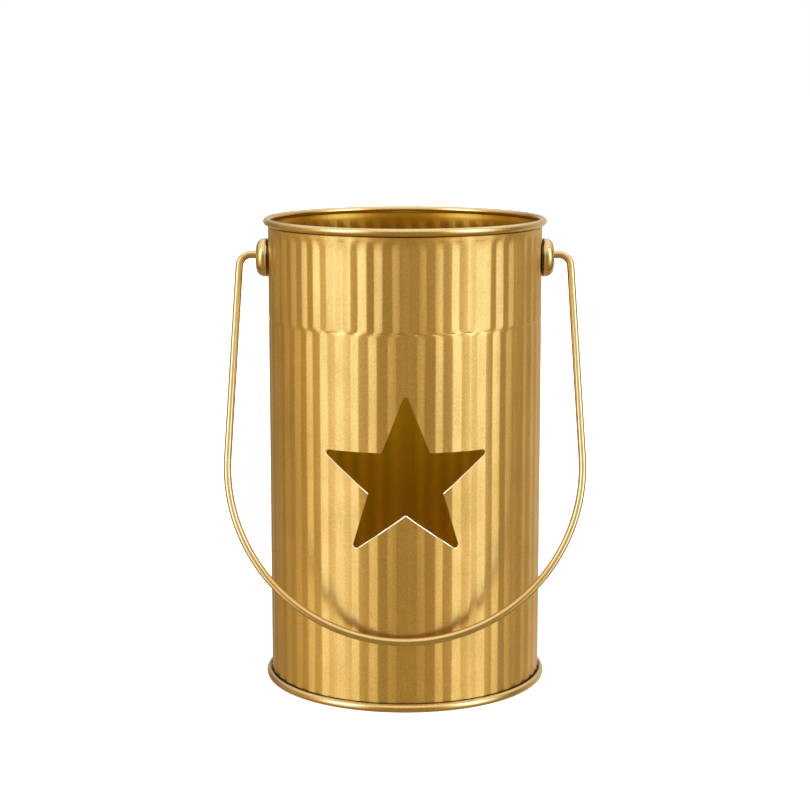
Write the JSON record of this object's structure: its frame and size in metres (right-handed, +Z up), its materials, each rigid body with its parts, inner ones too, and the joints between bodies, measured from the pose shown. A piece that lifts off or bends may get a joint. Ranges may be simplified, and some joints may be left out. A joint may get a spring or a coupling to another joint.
{
  "type": "punched tin lantern",
  "caption": "Pleated sheet-metal pail lantern with a star window, beaded rim and foot, open mouth and a swinging wire bail in domed ears.",
  "frame": {"origin": "on the lantern's axis, in the plane that its foot stands on", "axes": "+Z up the axis, -Y the front with the star, +X to the viewer's right when facing the star"},
  "size_m": [0.1622, 0.1313, 0.2142],
  "materials": {
    "wall_sheet": "satin gold lacquer on thin sheet steel",
    "hoop_metal": "glossier gold lacquer on rolled sheet steel",
    "base_sheet": "satin gold lacquer on thin sheet steel",
    "ear_metal": "glossier gold lacquer on pressed steel",
    "washer_metal": "satin gold lacquer on steel",
    "bail_metal": "glossy gold lacquer on drawn steel wire"
  },
  "bodies": {
    "lantern": {"pleated_wall": "wall_sheet", "rim_hoop": "hoop_metal", "foot_hoop": "hoop_metal", "base_disc": "base_sheet", "left_ear": "ear_metal", "right_ear": "ear_metal", "left_washer": "washer_metal", "right_washer": "washer_metal"},
    "bail": {"bail_wire": "bail_metal"}
  },
  "joints": [
    {"name": "bail_swing", "type": "hinge", "parent": "lantern", "child": "bail", "pos_m": [0, 0, 0.197], "axis": [-1, 0, 0], "range_deg": [0, 317]}
  ]
}
